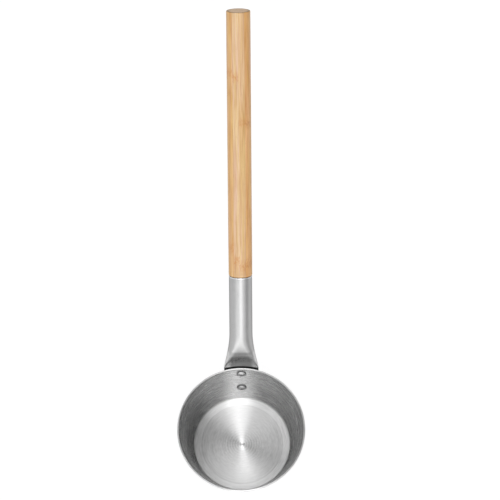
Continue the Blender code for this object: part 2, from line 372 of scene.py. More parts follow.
class Board:
    """The nodes of one material: each method places a node and hands back its output."""

    # A Mix node's sockets for a share and two colours, and for the mixed colour
    MIX_INPUTS = (0, 6, 7)
    MIX_RESULT = 2

    def __init__(self, name: str) -> None:
        """Start a new material.

        Args:
            name: The material's name.
        """
        self.material = bpy.data.materials.new(name)
        self.material.use_nodes = True
        self.tree = self.material.node_tree
        self.shader = self.tree.nodes["Principled BSDF"]

    def node(self, kind: str, **settings: object) -> bpy.types.Node:
        """Place a node and set its options.

        Args:
            kind: The node's type.
            settings: Its options by name.

        Returns:
            The node.
        """
        node = self.tree.nodes.new(kind)
        for name, value in settings.items():
            setattr(node, name, value)
        return node

    def feed(self, socket: Socket, value: Feed) -> None:
        """Wire an output to a socket, or set its value.

        Args:
            socket: The input.
            value: The output that is wired to it, or its value.
        """
        if isinstance(value, bpy.types.NodeSocket):
            self.tree.links.new(value, socket)
        else:
            socket.default_value = value

    def dress(self, **values: Feed) -> None:
        """Feed the shader's sockets, named with _ for a space."""
        for name, value in values.items():
            self.feed(self.shader.inputs[name.replace("_", " ")], value)

    def place(self) -> Socket:
        """Where a point lies on the piece."""
        return self.node("ShaderNodeTexCoord").outputs["Object"]

    def facing(self) -> Socket:
        """Which way the piece's surface faces."""
        return self.node("ShaderNodeTexCoord").outputs["Normal"]

    def mark(self, name: str) -> Socket:
        """A value that the mesh carries under a name."""
        return self.node("ShaderNodeAttribute", attribute_name=name).outputs["Fac"]

    def seated(self, vector: Feed, point: Vector, turn: float) -> Socket:
        """Measure a place from a point, along axes turned about X.

        Args:
            vector: The place.
            point: What it is measured from.
            turn: The axes' turn, in radians.

        Returns:
            The place along those axes.
        """
        node = self.node("ShaderNodeMapping", vector_type="TEXTURE")
        self.feed(node.inputs["Vector"], vector)
        node.inputs["Location"].default_value = point
        node.inputs["Rotation"].default_value = (turn, 0, 0)
        return node.outputs["Vector"]

    def level(self, vector: Feed) -> Socket:
        """A place with its height taken away."""
        return self.vector("MULTIPLY", vector, (1.0, 1.0, 0.0))

    def split(self, vector: Feed) -> tuple[Socket, Socket, Socket]:
        """Take a vector apart.

        Args:
            vector: The vector.

        Returns:
            Its three values.
        """
        node = self.node("ShaderNodeSeparateXYZ")
        self.feed(node.inputs[0], vector)
        return node.outputs[0], node.outputs[1], node.outputs[2]

    def join(self, x: Feed, y: Feed, z: Feed) -> Socket:
        """Make a vector of three values.

        Args:
            x: The first value.
            y: The second value.
            z: The third value.

        Returns:
            The vector.
        """
        node = self.node("ShaderNodeCombineXYZ")
        for socket, value in zip(node.inputs, (x, y, z)):
            self.feed(socket, value)
        return node.outputs[0]

    def math(self, operation: str, *values: Feed) -> Socket:
        """Work out one value.

        Args:
            operation: What is done.
            values: What it is done to.

        Returns:
            The result.
        """
        node = self.node("ShaderNodeMath", operation=operation)
        for socket, value in zip(node.inputs, values):
            self.feed(socket, value)
        return node.outputs[0]

    def blend(self, *shares: tuple[Feed, float]) -> Socket:
        """Add up values, each with its weight.

        Args:
            shares: Each value with its weight.

        Returns:
            The sum.
        """
        total: Feed = 0.0
        for value, weight in shares:
            total = self.math("MULTIPLY_ADD", value, weight, total)
        return total

    def vector(self, operation: str, *values: Feed) -> Socket:
        """Work out one vector, or the value of a dot product or a length.

        Args:
            operation: What is done.
            values: What it is done to.

        Returns:
            The result.
        """
        node = self.node("ShaderNodeVectorMath", operation=operation)
        for socket, value in zip(node.inputs, values):
            self.feed(socket, value)
        return node.outputs["Value" if operation in ("DOT_PRODUCT", "LENGTH") else "Vector"]

    def noise(self, vector: Feed, scale: float = 1.0, detail: float = 2.0) -> Socket:
        """A cloudy value about 0.5.

        Args:
            vector: Where it is taken.
            scale: Its changes per unit.
            detail: Its levels.

        Returns:
            The noise.
        """
        node = self.node("ShaderNodeTexNoise")
        self.feed(node.inputs["Vector"], vector)
        node.inputs["Scale"].default_value = scale
        node.inputs["Detail"].default_value = detail
        return node.outputs[0]

    def streaks(self, x: Feed, y: Feed, run: Feed, streak: Streak) -> Socket:
        """Noise over three coordinates, drawn out as the streak says."""
        scale = (streak.sides, streak.sides, streak.run)
        return self.noise(self.vector("MULTIPLY", self.join(x, y, run), scale), detail=streak.detail)

    def swing(self, noise: Socket, size: float) -> Socket:
        """Let a noise swing about nought, by up to half a size either way."""
        return self.math("MULTIPLY", self.math("SUBTRACT", noise, NOISE_MIDDLE), size)

    def cells(self, vector: Feed, scale: float) -> Socket:
        """The distance to the nearest of many scattered points.

        Args:
            vector: Where it is taken.
            scale: Points per unit.

        Returns:
            The distance, in cells.
        """
        node = self.node("ShaderNodeTexVoronoi")
        self.feed(node.inputs["Vector"], vector)
        node.inputs["Scale"].default_value = scale
        return node.outputs["Distance"]

    def span(
        self,
        value: Feed,
        low: float,
        high: float,
        at_low: float,
        at_high: float,
        blend: Blend = Blend.STRAIGHT,
    ) -> Socket:
        """Carry a value from one range to another, held at both ends.

        Args:
            value: What to carry over.
            low: Start of its range.
            high: End of its range.
            at_low: Result at the start.
            at_high: Result at the end.
            blend: How it runs between the two.

        Returns:
            The new value.
        """
        node = self.node("ShaderNodeMapRange", interpolation_type=blend.value)
        for socket, number in zip(node.inputs, (value, low, high, at_low, at_high)):
            self.feed(socket, number)
        return node.outputs[0]

    def ramp(self, value: Feed, stops: Iterable[tuple[float, Point]], stepped: bool = False) -> Socket:
        """A colour for a value, from stops of place and colour.

        Args:
            value: What the colour is found by.
            stops: Each place and its colour.
            stepped: Whether a colour holds up to the next stop.

        Returns:
            The colour.
        """
        node = self.node("ShaderNodeValToRGB")
        band = node.color_ramp
        band.interpolation = "CONSTANT" if stepped else "LINEAR"
        for i, (where, colour) in enumerate(stops):
            stop = band.elements[i] if i < 2 else band.elements.new(where)
            stop.position = where
            stop.color = (*colour, 1.0)
        self.feed(node.inputs[0], value)
        return node.outputs[0]

    def mix(self, share: Feed, first: Feed, second: Feed, how: str = "MIX") -> Socket:
        """Mix two colours.

        Args:
            share: How far the second takes over.
            first: The first colour.
            second: The second colour.
            how: The way of mixing.

        Returns:
            The mixed colour.
        """
        node = self.node("ShaderNodeMix", data_type="RGBA", blend_type=how)
        for index, value in zip(self.MIX_INPUTS, (share, first, second)):
            self.feed(node.inputs[index], (*value, 1.0) if isinstance(value, tuple) else value)
        return node.outputs[self.MIX_RESULT]

    def shade(self, colour: Feed, by: Feed) -> Socket:
        """Multiply a colour by a value or by another colour."""
        return self.mix(1.0, colour, by, "MULTIPLY")

    def bump(self, height: Feed, strength: float, depth: float) -> Socket:
        """A normal that follows a height.

        Args:
            height: The height.
            strength: How strongly it shows.
            depth: How high a height of 1 is.

        Returns:
            The normal.
        """
        node = self.node("ShaderNodeBump")
        node.inputs["Strength"].default_value = strength
        node.inputs["Distance"].default_value = depth
        self.feed(node.inputs["Height"], height)
        return node.outputs["Normal"]


# Finishes


@dataclass(frozen=True)
class TurnedAluminium:
    """Aluminium brushed on the lathe: circular lines that draw every highlight out across them.

    The lines are calmest fore and aft, and set in a little way from the middle. A painted highlight
    brightens the ring round the floor, with a darker line inside it. Painted shade darkens the wall low
    down, except for a painted highlight on the back wall at the handle's side, and painted shadow darkens
    the lip's inner edge. Heights run up from the cup's underside, and what lies at the lip is measured
    down and in from it.
    """

    name: str = "turned_aluminium"
    fine: Streak = Streak(2.5, 1700.0)
    broad: Streak = Streak(0.8, 480.0)
    strokes: Streak = Streak(6.0, 950.0, 1.0)
    shares: Point = (0.30, 0.25, 0.45)
    floor_tones: Stops = ((0.34, grey(0.425)), (0.64, grey(0.61)))
    wall_tones: Stops = ((0.38, grey(0.54)), (0.60, grey(0.70)))
    wall_foot: Range = (0.0035, 0.0065)
    wall_top: Range = (0.0005, 0.0012)
    # Painted shade low on the wall, and a painted highlight on the back wall at the handle's side
    low_wall_heights: Range = (0.006, 0.034)
    low_wall_shade: float = 0.74
    back_highlight: Range = (0.87, 0.995)
    back_highlight_lift: float = 1.12
    even_tone: float = 0.49
    calm: float = 0.35
    lines_from: Range = (0.0006, 0.0030)
    # Painted highlight on the ring round the floor, outside the flat
    ring_offset: float = 0.00067
    ring_softness: float = 0.0002
    ring_highlight: float = 1.14
    line_offset: float = 0.0006
    line_half: float = 0.0004
    line_dulling: float = 0.94
    pitch: float = 0.0022
    pitch_spread: Range = (0.008, 0.024)
    pitch_depth: float = 0.11
    # Painted shadow along the lip's inner edge
    lip_shadow_drop: Range = (0.0008, 0.0016)
    lip_shadow_inset: Range = (0.0007, 0.0017)
    lip_shadow_depth: float = 0.5
    lip_shadow_colour: Point = grey(0.02)
    edge_tint: Colour = (*grey(0.02), 1.0)
    roughness: Range = (0.40, 0.48)
    wall_polish: float = 0.18
    core: Range = (0.002, 0.007)
    core_polish: float = 0.16
    stretch: float = 0.98
    stretch_turn: float = 0.25
    relief: float = 0.35
    relief_depth: float = 0.00006
    wall_relief: float = 0.4

    def material(self, lip: float, rim: float, flat_radius: float) -> bpy.types.Material:
        """Build the finish about the cup's axis.

        Args:
            lip: Height of the cup's lip.
            rim: Outer radius of the lip.
            flat_radius: Radius of the flat of the floor.

        Returns:
            The finish.
        """
        board = Board(self.name)
        place = board.place()
        flat = board.level(place)
        radius = board.vector("LENGTH", flat)
        out_x, out_y, _ = board.split(board.vector("NORMALIZE", flat))
        _, _, height = board.split(place)
        drop = board.math("SUBTRACT", lip, height)
        inset = board.math("SUBTRACT", rim, radius)
        along = board.math("ADD", radius, height)
        brushing = (self.fine, self.broad, self.strokes)
        lines = [board.streaks(out_x, out_y, along, streak) for streak in brushing]
        tone = board.blend(*zip(lines, self.shares))
        wall = board.math(
            "MULTIPLY",
            board.span(height, *self.wall_foot, 0.0, 1.0, Blend.SOFT),
            board.span(drop, *self.wall_top, 0.0, 1.0, Blend.SOFT),
        )
        depth = board.math(
            "MULTIPLY",
            board.span(board.math("MULTIPLY", out_x, out_x), 0.0, 1.0, self.calm, 1.0),
            board.span(radius, *self.lines_from, 0.0, 1.0, Blend.SOFT),
        )
        depth = board.math("MAXIMUM", depth, wall)
        even = board.math("MULTIPLY_ADD", board.math("SUBTRACT", tone, self.even_tone), depth, self.even_tone)
        rings = self.turning(board, radius, depth, flat_radius + self.ring_offset)
        floor_colour = board.shade(board.ramp(even, self.floor_tones), rings)
        # Painted shade low on the wall, and a painted highlight on the back wall at the handle's side
        shade_and_highlight = board.math(
            "MAXIMUM",
            board.span(height, *self.low_wall_heights, self.low_wall_shade, 1.0),
            board.span(out_y, *self.back_highlight, self.low_wall_shade, self.back_highlight_lift, Blend.SOFT),
        )
        wall_colour = board.shade(board.ramp(tone, self.wall_tones), shade_and_highlight)
        # Painted shadow along the lip's inner edge
        hollow = board.math(
            "MULTIPLY",
            board.span(drop, *self.lip_shadow_drop, 1.0, 0.0, Blend.SOFT),
            board.span(inset, *self.lip_shadow_inset, 0.0, self.lip_shadow_depth, Blend.SOFT),
        )
        core = board.span(radius, *self.core, self.core_polish, 0.0, Blend.SOFT)
        polish = board.math("MULTIPLY_ADD", wall, self.wall_polish, core)
        relief = board.math("MULTIPLY", even, board.span(wall, 0.0, 1.0, 1.0, self.wall_relief))
        board.dress(
            Base_Color=board.mix(hollow, board.mix(wall, floor_colour, wall_colour), self.lip_shadow_colour),
            Metallic=1.0,
            Specular_Tint=self.edge_tint,
            Roughness=board.math("SUBTRACT", board.span(even, *MID_NOISE, *self.roughness), polish),
            Anisotropic=self.stretch,
            Anisotropic_Rotation=self.stretch_turn,
            Tangent=board.vector("CROSS_PRODUCT", (0.0, 0.0, 1.0), place),
            Normal=board.bump(relief, self.relief, self.relief_depth),
        )
        return board.material

    def turning(self, board: Board, radius: Socket, depth: Socket, edge: float) -> Socket:
        """How the lathe's rings, and the painted highlight on the ring round the floor, change the floor's
        colour.

        Args:
            board: The finish under way.
            radius: Distance from the axis.
            depth: How strongly the lines show.
            edge: Inner radius of the ring with the painted highlight.

        Returns:
            What the floor's colour is multiplied by.
        """
        soft = self.ring_softness
        # Painted highlight on the ring round the floor
        ring = board.span(radius, edge - soft, edge + soft, 1.0, self.ring_highlight)
        on_line = board.math("COMPARE", radius, edge - self.line_offset, self.line_half)
        line = board.span(on_line, 0.0, 1.0, 1.0, self.line_dulling)
        wave = board.math("SINE", board.math("MULTIPLY", radius, 2 * math.pi / self.pitch))
        swing = board.span(radius, *self.pitch_spread, self.pitch_depth, 0.0, Blend.SOFT)
        level = board.math("MULTIPLY", ring, line)
        return board.math("MULTIPLY_ADD", wave, board.math("MULTIPLY", depth, swing), level)


@dataclass(frozen=True)
class SatinAluminium:
    """Drawn and anodised tube: an even satin grain with faint lines along the tube.

    The pressed part is smoother, with painted shade on its flat and a painted highlight on its
    flanks. Painted shadow lies on the tongue where it faces the cup, and the mouth's cut edge is bright.
    Lengths run up from where the tongue passes the cup's rim, and the edge's run back from the mouth.
    """

    name: str = "satin_aluminium"
    draw: Streak = Streak(26.0, 22.0, 3.0)
    grain: Streak = Streak(30.0, 3000.0, 3.0)
    cloud: Streak = Streak(2.2, 160.0, 3.0)
    shares: Point = (0.15, 0.50, 0.35)
    tones: Stops = ((0.32, grey(0.43)), (0.68, grey(0.52)))
    edge_tint: Colour = (*grey(0.4), 1.0)
    roughness: Range = (0.36, 0.42)
    pressed: Range = (0.0133, 0.0293)
    press_polish: float = 0.10
    # Painted shade on the pressed flat and a painted highlight on its flanks
    press_shade_from: Range = (0.0143, 0.0169)
    press_shade: float = 0.62
    flank: Range = (0.35, 0.75)
    flank_highlight: float = 1.30
    # Painted shadow on the tongue's side that faces the cup, below the rim
    gap_shadow: Range = (0.0001, 0.0011)
    gap_shadow_side: Range = (-0.02, 0.0)
    gap_shadow_colour: Point = grey(0.06)
    mouth_edge: Range = (0.0005, 0.0013)
    mouth_colour: Point = (0.72, 0.73, 0.75)
    relief: float = 0.08
    relief_depth: float = 0.00003

    def material(self, rim: float, mouth: float) -> bpy.types.Material:
        """Build the finish from the neck's own marks, so that it bends with the tube.

        Args:
            rim: Length from the tongue's end to the cup's rim.
            mouth: Length from the tongue's end to the mouth.

        Returns:
            The finish.
        """
        board = Board(self.name)
        turn = board.math("MULTIPLY", board.mark("share"), 2 * math.pi)
        run = board.mark("run")
        past_rim = board.math("SUBTRACT", run, rim)
        to_mouth = board.math("SUBTRACT", mouth, run)
        cos, sin = board.math("COSINE", turn), board.math("SINE", turn)
        lines = [board.streaks(cos, sin, run, streak) for streak in (self.draw, self.grain, self.cloud)]
        tone = board.blend(*zip(lines, self.shares))
        polish = board.span(past_rim, *self.pressed, self.press_polish, 0.0, Blend.SOFT)
        # Painted shade on the pressed flat and a painted highlight on its flanks
        flat = board.span(sin, *self.flank, self.flank_highlight, self.press_shade, Blend.SOFT)
        shade_and_highlight = board.span(past_rim, *self.press_shade_from, 1.0, 0.0, Blend.SOFT)
        shade_and_highlight = board.math("MULTIPLY_ADD", shade_and_highlight, board.math("SUBTRACT", flat, 1.0), 1.0)
        metal = board.shade(board.ramp(tone, self.tones), shade_and_highlight)
        edge = board.span(to_mouth, *self.mouth_edge, 1.0, 0.0, Blend.SOFT)
        metal = board.mix(edge, metal, self.mouth_colour)
        # Painted shadow on the tongue's side that faces the cup, below the rim
        unshadowed = board.math(
            "MAXIMUM",
            board.span(past_rim, *self.gap_shadow, 0.0, 1.0, Blend.SOFT),
            board.span(sin, *self.gap_shadow_side, 1.0, 0.0),
        )
        board.dress(
            Base_Color=board.mix(unshadowed, self.gap_shadow_colour, metal),
            Metallic=1.0,
            Specular_Tint=self.edge_tint,
            Roughness=board.math("SUBTRACT", board.span(tone, *MID_NOISE, *self.roughness), polish),
            Normal=board.bump(lines[1], self.relief, self.relief_depth),
        )
        return board.material


@dataclass(frozen=True)
class HeadedMetal:
    """Small cold-headed metal: hammered a little uneven, with painted shade round its edge."""

    name: str
    shade: Point
    light: Point
    roughness: Range
    tone_range: Range = (0.35, 0.62)
    dent_scale: float = 900.0
    dent_detail: float = 3.0
    dent_share: float = 0.6
    grain_scale: float = 6000.0
    grain_share: float = 0.4
    # Painted shade round the edge of the head
    edge_shade_reach: Range = (0.86, 0.98)
    edge_shade: float = 0.8
    edge_shade_colour: Point = grey(0.05)
    relief: float = 0.25
    relief_depth: float = 0.0001

    def material(self, seat: Vector, turn: float, rim: float) -> bpy.types.Material:
        """Build the finish about the piece's own axis.

        Args:
            seat: The point that the piece was turned about.
            turn: How its axis is turned about X from upright.
            rim: The radius of its edge, where shade is painted.

        Returns:
            The finish.
        """
        board = Board(self.name)
        place = board.place()
        flat = board.level(board.seated(place, seat, turn))
        # Painted shade round the edge of the head
        inner, outer = self.edge_shade_reach
        edge_shade = board.span(board.vector("LENGTH", flat), inner * rim, outer * rim, 0.0, self.edge_shade, Blend.SOFT)
        dents = board.noise(place, self.dent_scale, self.dent_detail)
        grain = board.noise(place, self.grain_scale)
        tone = board.blend((dents, self.dent_share), (grain, self.grain_share))
        metal = board.ramp(tone, tuple(zip(self.tone_range, (self.shade, self.light))))
        board.dress(
            Base_Color=board.mix(edge_shade, metal, self.edge_shade_colour),
            Metallic=1.0,
            Roughness=board.span(tone, *MID_NOISE, *reversed(self.roughness)),
            Normal=board.bump(tone, self.relief, self.relief_depth),
        )
        return board.material


@dataclass(frozen=True)
class Knots:
    """A knot on each strip: its height up the rod, how far it stains the strip, and how strongly."""

    heights: tuple[float, ...]
    reach: float
    strength: float


@dataclass(frozen=True)
class RodPlace:
    """Where a point lies on the rod: in metres, in strips, and in millimetres that sway with the fibres."""

    x: Socket
    y: Socket
    z: Socket
    strips: Socket
    side_x: Socket
    side_y: Socket
    run: Socket


@dataclass(frozen=True)
class LaminatedBamboo:
    """Bamboo strips glued side by side and turned round: fibres, knots, glue lines and end grain."""

    name: str = "laminated_bamboo"
    strip: float = 0.0051
    first_seam: float = -0.0001
    strip_tints: tuple[Point, ...] = (
        (0.825, 0.76, 0.63),
        (0.825, 0.855, 0.95),
        (0.835, 0.83, 0.80),
        (0.93, 0.815, 0.63),
    )
    strip_shift: float = 91.0
    strip_step: float = 3.7
    sway_scale: Point = (5.3, 90.0, 0.020)
    sway: float = 4.5
    bands: Streak = Streak(0.42, 0.020)
    fibres: Streak = Streak(1.5, 0.040, 3.0)
    hairs: Streak = Streak(4.0, 0.09)
    shares: Point = (0.45, 0.40, 0.15)
    tones: Stops = (
        (0.34, (0.51, 0.275, 0.105)),
        (0.45, (0.63, 0.385, 0.180)),
        (0.53, (0.69, 0.455, 0.240)),
        (0.64, (0.76, 0.545, 0.325)),
    )
    warmth: Streak = Streak(0.7, 0.016)
    warm_tones: Stops = ((0.38, (1.01, 1.02, 0.84)), (0.62, (1.0, 0.97, 1.10)))
    dashes: Streak = Streak(2.4, 0.20, 1.0)
    dash_range: Range = (0.66, 0.76)
    dash_strength: float = 0.45
    dash_colour: Point = (0.36, 0.19, 0.08)
    knots: tuple[Knots, Knots] = (
        Knots((0.1765, 0.1725, 0.1345, 0.1330), 0.0060, 0.92),
        Knots((0.026, 0.0145, 0.0095, 0.0120), 0.0085, 0.90),
    )
    knot_limit: float = 0.25
    knot_sway: Streak = Streak(0.7, 0.12)
    knot_swing: float = 0.006
    speckle: Streak = Streak(1.3, 0.50)
    speckle_range: Range = (0.40, 0.62)
    speckle_least: float = 0.10
    knot_line: float = 0.0007
    knot_line_share: float = 0.4
    knot_colour: Point = (0.49, 0.225, 0.07)
    glue_reach: Range = (0.012, 0.05)
    glue_strength: float = 0.16
    glue_colour: Point = (0.33, 0.20, 0.10)
    end_facing: Range = (0.80, 0.95)
    pore_scale: float = 1.7
    pore_range: Range = (0.10, 0.42)
    pore_colour: Point = (0.50, 0.33, 0.20)
    end_colour: Point = (0.80, 0.57, 0.375)
    singe_reach: Range = (0.74, 0.92)
    singe_strength: float = 0.70
    singe_colour: Point = (0.24, 0.155, 0.085)
    roughness: Range = (0.50, 0.40)
    end_roughness: float = 0.2
    shine: float = 0.45
    oil: float = 0.10
    oil_roughness: float = 0.32
    relief_shares: Point = (0.6, 0.4, -0.6)
    relief: float = 0.22
    relief_depth: float = 0.00012

    def material(self, mouth: Vector, turn: float, radius: float) -> bpy.types.Material:
        """Build the finish in the rod's own frame.

        Args:
            mouth: The middle of the rod's shoulder.
            turn: How the rod is turned about X from upright.
            radius: The rod's radius.

        Returns:
            The finish.
        """
        board = Board(self.name)
        at = self.rod_place(board, mouth, turn)
        fibre = [self.drawn(board, at, streak) for streak in (self.bands, self.fibres, self.hairs)]
        tone = board.blend(*zip(fibre, self.shares))
        colour = board.shade(board.ramp(tone, self.tones), self.per_strip(board, at, self.strip_tints))
        colour = board.shade(colour, board.ramp(self.drawn(board, at, self.warmth), self.warm_tones))
        dashes = board.span(self.drawn(board, at, self.dashes), *self.dash_range, 0.0, self.dash_strength)
        colour = self.knotted(board, at, board.mix(dashes, colour, self.dash_colour))
        seam = board.math("ABSOLUTE", board.math("SUBTRACT", at.strips, board.math("ROUND", at.strips)))
        glue = board.span(seam, *self.glue_reach, self.glue_strength, 0.0, Blend.SOFT)
        colour = board.mix(glue, colour, self.glue_colour)
        ends = board.vector("DOT_PRODUCT", board.facing(), (0.0, -math.sin(turn), math.cos(turn)))
        cut = board.span(ends, *self.end_facing, 0.0, 1.0, Blend.SOFT)
        dryness = board.span(tone, *MID_NOISE, *self.roughness)
        relief = board.blend(*zip((*fibre[1:], glue), self.relief_shares))
        board.dress(
            Base_Color=board.mix(cut, colour, self.end_grain(board, at, radius)),
            Roughness=board.math("MULTIPLY_ADD", cut, self.end_roughness, dryness),
            Specular_IOR_Level=self.shine,
            Coat_Weight=self.oil,
            Coat_Roughness=self.oil_roughness,
            Normal=board.bump(relief, self.relief, self.relief_depth),
        )
        return board.material

    def rod_place(self, board: Board, mouth: Vector, turn: float) -> RodPlace:
        """Find where a point lies on the rod.

        Args:
            board: The finish under way.
            mouth: The middle of the rod's shoulder.
            turn: How the rod is turned about X from upright.

        Returns:
            The place, with each strip's fibres set apart from the next strip's.
        """
        x, y, z = board.split(board.seated(board.place(), mouth, turn))
        strips = board.math("DIVIDE", board.math("SUBTRACT", x, self.first_seam), self.strip)
        number = board.math("FLOOR", strips)
        run = board.math("MULTIPLY_ADD", z, MILLIMETRES, board.math("MULTIPLY", number, self.strip_shift))
        sway = board.noise(board.vector("MULTIPLY", board.join(number, y, run), self.sway_scale))
        sway = board.swing(sway, self.sway)
        side_x = board.blend((x, MILLIMETRES), (number, self.strip_step), (sway, 1.0))
        side_y = board.math("MULTIPLY", y, MILLIMETRES)
        return RodPlace(x, y, z, strips, side_x, side_y, run)

    def drawn(self, board: Board, at: RodPlace, streak: Streak) -> Socket:
        """Noise drawn out along the strips, in features per millimetre."""
        return board.streaks(at.side_x, at.side_y, at.run, streak)

    def per_strip(self, board: Board, at: RodPlace, colours: tuple[Point, ...]) -> Socket:
        """A colour for each strip, from the -X side on.

        Args:
            board: The finish under way.
            at: Where a point lies on the rod.
            colours: One colour for each strip.

        Returns:
            The colour at that point.
        """
        count = len(colours)
        share = board.span(at.strips, -count / 2, count / 2, 0.0, 1.0)
        return board.ramp(share, tuple((i / count, colour) for i, colour in enumerate(colours)), stepped=True)

    def knotted(self, board: Board, at: RodPlace, colour: Socket) -> Socket:
        """Stain the strips at their knots.

        Args:
            board: The finish under way.
            at: Where a point lies on the rod.
            colour: The strips' colour.

        Returns:
            The colour with its knots.
        """
        wave = board.swing(self.drawn(board, at, self.knot_sway), self.knot_swing)
        speckle = self.drawn(board, at, self.speckle)
        speckle = board.span(speckle, *self.speckle_range, self.speckle_least, 1.0)
        for knots in self.knots:
            shares = tuple(grey(height / self.knot_limit) for height in knots.heights)
            height = board.math("MULTIPLY", self.per_strip(board, at, shares), self.knot_limit)
            away = board.math("ABSOLUTE", board.math("ADD", board.math("SUBTRACT", at.z, height), wave))
            zone = board.span(away, 0.0, knots.reach, knots.strength, 0.0, Blend.SOFT)
            line = board.span(away, 0.0, self.knot_line, self.knot_line_share * knots.strength, 0.0)
            stain = board.math("MAXIMUM", board.math("MULTIPLY", zone, speckle), line)
            colour = board.mix(stain, colour, self.knot_colour)
        return colour

    def end_grain(self, board: Board, at: RodPlace, radius: float) -> Socket:
        """The colour of the rod's cut end: pores, and a singed border.

        Args:
            board: The finish under way.
            at: Where a point lies on the rod.
            radius: The rod's radius.

        Returns:
            The colour at that point.
        """
        pores = board.cells(board.join(at.side_x, at.side_y, 0.0), self.pore_scale)
        pores = board.span(pores, *self.pore_range, 1.0, 0.0, Blend.SOFT)
        reach = board.vector("LENGTH", board.join(at.x, at.y, 0.0))
        inner, outer = (share * radius for share in self.singe_reach)
        singe = board.span(reach, inner, outer, 0.0, self.singe_strength, Blend.SOFT)
        return board.mix(singe, board.mix(pores, self.end_colour, self.pore_colour), self.singe_colour)


@dataclass(frozen=True)
class PaleFloor:
    """A pale seamless floor, with a painted falloff of light that darkens it far from the ladle."""

    name: str = "pale_floor"
    near: Point = grey(0.90)
    far: Point = grey(0.70)
    reach: Point = (0.4, 1.0, 1.0)
    radii: Range = (0.34, 0.75)
    grain_scale: float = 900.0
    grain_range: Range = (0.3, 0.7)
    grain_tones: Range = (0.97, 1.0)
    roughness: float = 0.9
    veil: float = 0.88
    glow: Range = (1.05, 0.78)

    def material(self, middle: Vector) -> bpy.types.Material:
        """Build the finish round the ladle's middle: paper lit by the room, under a veil of plain white.

        Args:
            middle: The ladle's middle.

        Returns:
            The finish.
        """
        board = Board(self.name)
        place = board.place()
        away = board.vector("MULTIPLY", board.vector("SUBTRACT", place, tuple(middle)), self.reach)
        # Painted falloff of light: the floor's colour and glow darken away from the ladle
        share = board.span(board.vector("LENGTH", away), *self.radii, 0.0, 1.0, Blend.SOFT)
        grain = board.span(board.noise(place, self.grain_scale), *self.grain_range, *self.grain_tones)
        board.dress(
            Base_Color=board.shade(board.mix(share, self.near, self.far), grain),
            Roughness=self.roughness,
            Specular_IOR_Level=0.0,
        )
        rays = board.node("ShaderNodeLightPath").outputs
        seen = board.math("MAXIMUM", rays["Is Camera Ray"], rays["Is Glossy Ray"])
        seen = board.math("MAXIMUM", seen, rays["Is Transmission Ray"])
        white = board.node("ShaderNodeEmission")
        board.feed(white.inputs["Strength"], board.span(share, 0.0, 1.0, *self.glow))
        blend = board.node("ShaderNodeMixShader")
        board.feed(blend.inputs[0], board.math("MULTIPLY", seen, self.veil))
        board.feed(blend.inputs[1], board.shader.outputs[0])
        board.feed(blend.inputs[2], white.outputs[0])
        board.feed(board.tree.nodes["Material Output"].inputs["Surface"], blend.outputs[0])
        return board.material


# Sub-assemblies


@dataclass(frozen=True)
class Wall:
    """The cup's tapered wall, which the cup, the tongue and the rivets share."""

    rim_radius: float = 0.0545
    height: float = 0.050
    thickness: float = 0.0018
    taper: float = math.radians(14.0)

    def radius(self, z: float) -> float:
        """The outer radius at a height."""
        return self.rim_radius - (self.height - z) * math.tan(self.taper)

    def point(self, drop: float, depth: float = 0.0) -> Vector:
        """A point of the back wall, drop down from the rim and depth in from its outer face.

        Args:
            drop: Length down the wall.
            depth: Length square to it.

        Returns:
            The point, in the ladle's middle plane.
        """
        z = self.height - drop * math.cos(self.taper)
        inwards = Vector((0, -math.cos(self.taper), math.sin(self.taper)))
        return Vector((0, self.radius(z), z)) + depth * inwards


